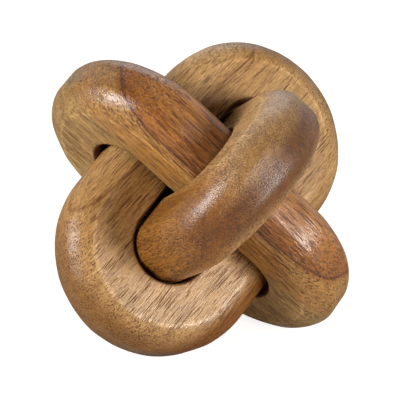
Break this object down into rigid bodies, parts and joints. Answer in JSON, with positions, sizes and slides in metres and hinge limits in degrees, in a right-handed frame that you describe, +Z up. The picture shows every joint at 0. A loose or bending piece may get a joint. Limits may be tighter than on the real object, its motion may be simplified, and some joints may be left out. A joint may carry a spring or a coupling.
{
  "type": "wooden knot sculpture",
  "caption": "Free-standing ornament of flat rounded wooden links that pass through each other and rest on their lower ends.",
  "frame": {"origin": "on the table, under the point where the middles of the three links meet", "axes": "+Z up, away from the table; -Y towards the side that the front link's upper end leans to; +X to the right of that side"},
  "size_m": [0.1321, 0.1354, 0.1169],
  "materials": {
    "right_board": "satin oil on light brown hardwood",
    "left_board": "satin oil on reddish brown hardwood",
    "front_board": "satin oil on mid brown hardwood",
    "dowel_wood": "bare turned beech"
  },
  "bodies": {
    "right_link": {"right_link": "right_board"},
    "left_link": {"left_link": "left_board"},
    "front_link": {"front_link_upper_half": "front_board", "front_link_lower_half": "front_board", "left_dowel": "dowel_wood", "right_dowel": "dowel_wood"}
  },
  "joints": [
    {"name": "left_link_slide", "type": "slide", "parent": "right_link", "child": "left_link", "axis": [-0.7071, 0.4082, 0.5774], "range_m": [-0.0014, 0.0014]},
    {"name": "front_link_slide", "type": "slide", "parent": "right_link", "child": "front_link", "axis": [0, -0.8165, 0.5774], "range_m": [-0.0006, 0.0019]}
  ]
}
